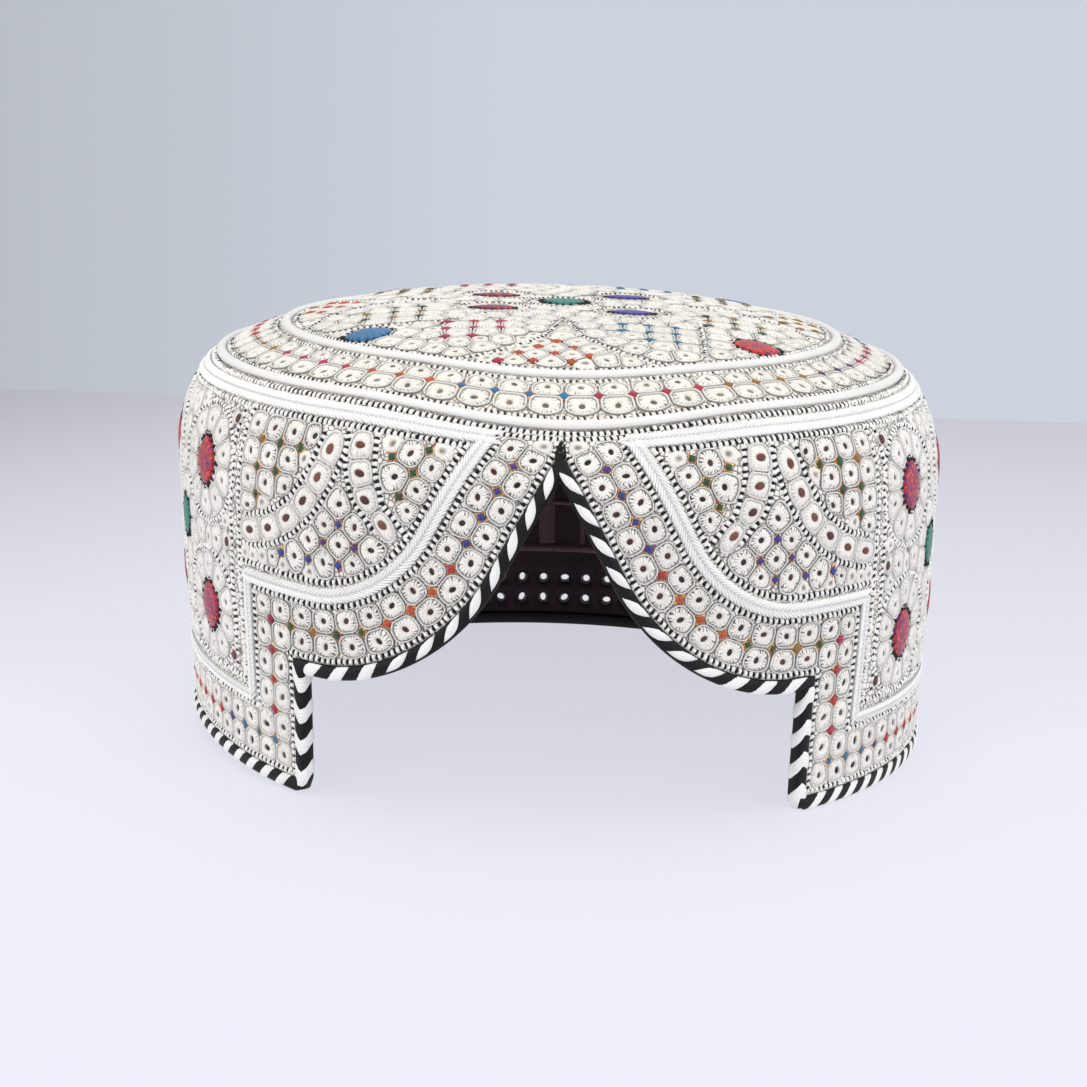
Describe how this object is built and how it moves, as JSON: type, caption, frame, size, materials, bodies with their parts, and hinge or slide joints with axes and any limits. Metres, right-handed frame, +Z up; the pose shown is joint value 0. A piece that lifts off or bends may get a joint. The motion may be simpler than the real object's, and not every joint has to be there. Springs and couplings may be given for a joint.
{
  "type": "embroidered sindhi cap",
  "caption": "Round embroidered cap with a low domed crown, a tall side wall and a wide pointed arch cut out of the front between two stepped flaps.",
  "frame": {"origin": "centre of the cap at the level of its rim, which is the floor it rests on", "axes": "+Z up through the crown, -Y out of the arch at the front, +X to the side that is right in a view from the front"},
  "size_m": [0.1881, 0.189, 0.1061],
  "materials": {
    "wall_embroidery": "dense white thread work on black cloth with small coloured stars",
    "crown_embroidery": "dense white thread work on black cloth with coloured stars and medallions",
    "striped_binding": "slanted black and white satin stitches",
    "side_lining_cloth": "plain dark cloth, pierced by two rows of pinholes near the rim",
    "crown_lining_cloth": "plain dark cloth",
    "satin_ring": "padded satin stitch, slightly glossy",
    "satin_inner_ring": "padded satin stitch, slightly glossy",
    "herringbone_top": "herringbone satin braid",
    "herringbone_arch_left": "herringbone satin braid",
    "herringbone_arch_right": "herringbone satin braid",
    "herringbone_rim": "herringbone satin braid"
  },
  "bodies": {
    "root": {"side_wall": "wall_embroidery", "crown_top": "crown_embroidery", "edge_binding": "striped_binding", "side_lining": "side_lining_cloth", "crown_lining": "crown_lining_cloth", "crown_edge_ring": "satin_ring", "crown_inner_ring": "satin_inner_ring", "wall_top_braid": "herringbone_top", "arch_braid_left": "herringbone_arch_left", "arch_braid_right": "herringbone_arch_right", "rim_braid": "herringbone_rim"}
  },
  "joints": []
}
